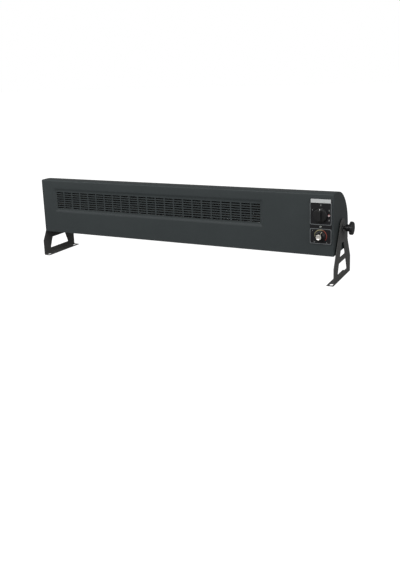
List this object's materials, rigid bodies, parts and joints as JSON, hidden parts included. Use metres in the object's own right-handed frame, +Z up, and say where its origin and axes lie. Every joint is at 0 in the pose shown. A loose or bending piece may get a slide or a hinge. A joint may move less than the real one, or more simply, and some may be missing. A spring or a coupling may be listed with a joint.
{
  "type": "fan heater",
  "caption": "Long sheet-metal fan heater with a pressed slotted outlet, two rotary controls and a clamped tilting stand.",
  "frame": {"origin": "on the floor, half way between the four fixing slots of the feet and straight below the tilt axis", "axes": "+X along the casing to the control end, -Y towards the front (air outlet), +Z up"},
  "size_m": [1.0698, 0.1752, 0.2575],
  "materials": {
    "casing_paint": "fine-textured charcoal powder coat on steel sheet",
    "bracket_paint": "fine-textured dark grey powder coat on steel strip",
    "zinc_sheet": "zinc-coated sheet, satin",
    "zinc_steel": "bright zinc-plated steel",
    "black_screw": "blackened steel",
    "black_plastic": "moulded black thermoset, fine grain",
    "panel_black": "satin black",
    "bezel_grey": "satin mid grey",
    "label_pale": "satin off-white",
    "ceramic": "unglazed steatite",
    "switch_cream": "heat-resistant moulding",
    "element_steel": "heat-tinted stainless tube and fins",
    "cast_shield": "die-cast, as cast",
    "lamination": "varnished steel laminations",
    "copper": "enamelled copper",
    "bronze": "oil-soaked sintered bronze",
    "wheel_alloy": "formed aluminium",
    "bright_cap": "spun and lacquered",
    "shaft_steel": "ground",
    "spacer_brass": "turned",
    "rubber_black": "moulded",
    "friction_fibre": "pressed fibre",
    "lens_red": "translucent moulding"
  },
  "bodies": {
    "stand": {"left_bracket": "bracket_paint", "right_bracket": "bracket_paint"},
    "housing": {"front_panel": "casing_paint", "rear_cover": "casing_paint", "left_end_cap": "casing_paint", "right_end_cap": "casing_paint", "left_clamp_nut": "zinc_steel", "right_clamp_nut": "zinc_steel", "left_friction_disc": "friction_fibre", "right_friction_disc": "friction_fibre", "seam_screws": "black_screw", "cap_screws": "black_screw", "cable_gland": "black_plastic", "left_bulkhead": "zinc_sheet", "right_bulkhead": "zinc_sheet", "air_scroll": "zinc_sheet", "air_cutoff": "zinc_sheet", "upper_element": "element_steel", "lower_element": "element_steel", "element_insulators": "ceramic", "thermal_cutout": "switch_cream", "bearing_cup": "zinc_sheet", "bearing_rubber": "rubber_black", "end_bearing": "bronze", "motor_front_shield": "cast_shield", "motor_rear_shield": "cast_shield", "motor_stator": "lamination", "motor_windings": "copper", "motor_bolts": "zinc_steel", "motor_spacers": "spacer_brass", "control_base": "panel_black", "upper_bezel": "bezel_grey", "upper_plate": "panel_black", "lower_bezel": "bezel_grey", "lower_plate": "panel_black", "label_strip": "label_pale", "fascia_screw": "zinc_steel", "selector_switch": "switch_cream", "thermostat_body": "switch_cream", "sensor_capillary": "copper", "pilot_lamp": "lens_red", "terminal_block": "ceramic"},
    "blower": {"blower_wheel": "wheel_alloy", "stub_shaft": "shaft_steel", "motor_rotor": "lamination", "motor_shaft": "shaft_steel"},
    "selector": {"selector_knob": "black_plastic", "selector_spindle": "shaft_steel"},
    "thermostat": {"thermostat_knob": "black_plastic", "thermostat_cap": "bright_cap", "thermostat_spindle": "shaft_steel"},
    "left_washer": {"left_clamp_washer": "zinc_steel"},
    "left_clamp": {"left_clamp_knob": "black_plastic", "left_clamp_stud": "zinc_steel"},
    "right_washer": {"right_clamp_washer": "zinc_steel"},
    "right_clamp": {"right_clamp_knob": "black_plastic", "right_clamp_stud": "zinc_steel"}
  },
  "joints": [
    {"name": "tilt", "type": "hinge", "parent": "stand", "child": "housing", "pos_m": [0, 0, 0.15], "axis": [1, 0, 0], "range_deg": [-45, 45]},
    {"name": "blower_spin", "type": "hinge", "parent": "housing", "child": "blower", "pos_m": [0, 0.01, 0.148], "axis": [1, 0, 0], "continuous": true},
    {"name": "selector_turn", "type": "hinge", "parent": "housing", "child": "selector", "pos_m": [0.46325, -0.08, 0.1975], "axis": [0, 1, 0], "range_deg": [-60, 120]},
    {"name": "thermostat_turn", "type": "hinge", "parent": "housing", "child": "thermostat", "pos_m": [0.46325, -0.08, 0.139], "axis": [0, 1, 0], "range_deg": [-124, 106]},
    {"name": "left_clamp_travel", "type": "slide", "parent": "housing", "child": "left_washer", "axis": [-1, 0, 0], "range_m": [0, 0.002]},
    {"name": "left_clamp_turn", "type": "hinge", "parent": "left_washer", "child": "left_clamp", "pos_m": [-0.52, 0, 0.15], "axis": [-1, 0, 0], "range_deg": [0, 722]},
    {"name": "right_clamp_travel", "type": "slide", "parent": "housing", "child": "right_washer", "axis": [1, 0, 0], "range_m": [0, 0.002]},
    {"name": "right_clamp_turn", "type": "hinge", "parent": "right_washer", "child": "right_clamp", "pos_m": [0.52, 0, 0.15], "axis": [1, 0, 0], "range_deg": [0, 722]}
  ],
  "couplings": [
    {"joint": "left_clamp_turn", "follows": "left_clamp_travel", "rad_per_m": 6283.2},
    {"joint": "right_clamp_turn", "follows": "right_clamp_travel", "rad_per_m": 6283.2}
  ]
}
